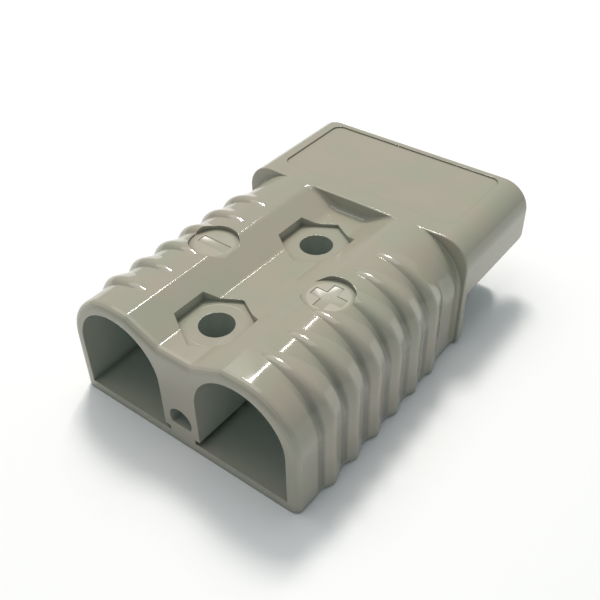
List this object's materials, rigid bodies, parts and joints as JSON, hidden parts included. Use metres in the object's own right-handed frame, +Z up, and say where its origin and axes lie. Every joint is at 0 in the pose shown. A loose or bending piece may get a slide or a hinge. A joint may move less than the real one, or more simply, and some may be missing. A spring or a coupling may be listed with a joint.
{
  "type": "genderless power connector",
  "caption": "Genderless power connector half: ribbed moulded housing with a hood and a tongue that face a like half, flat wiping blades on crimp barrels, and fixing holes.",
  "frame": {"origin": "on the base plane, under the middle of the housing's length and width", "axes": "+Y towards the mating end, +Z up from the base to the hood's top, +X towards the positive pole"},
  "size_m": [0.0548, 0.0794, 0.0256],
  "materials": {
    "housing_plastic": "moulded polycarbonate in warm light grey, glossy",
    "contact_metal": "silver-plated drawn copper",
    "spring_steel": "stainless spring strip"
  },
  "bodies": {
    "root": {"housing": "housing_plastic", "positive_contact": "contact_metal", "negative_contact": "contact_metal", "positive_spring": "spring_steel", "negative_spring": "spring_steel"}
  },
  "joints": []
}
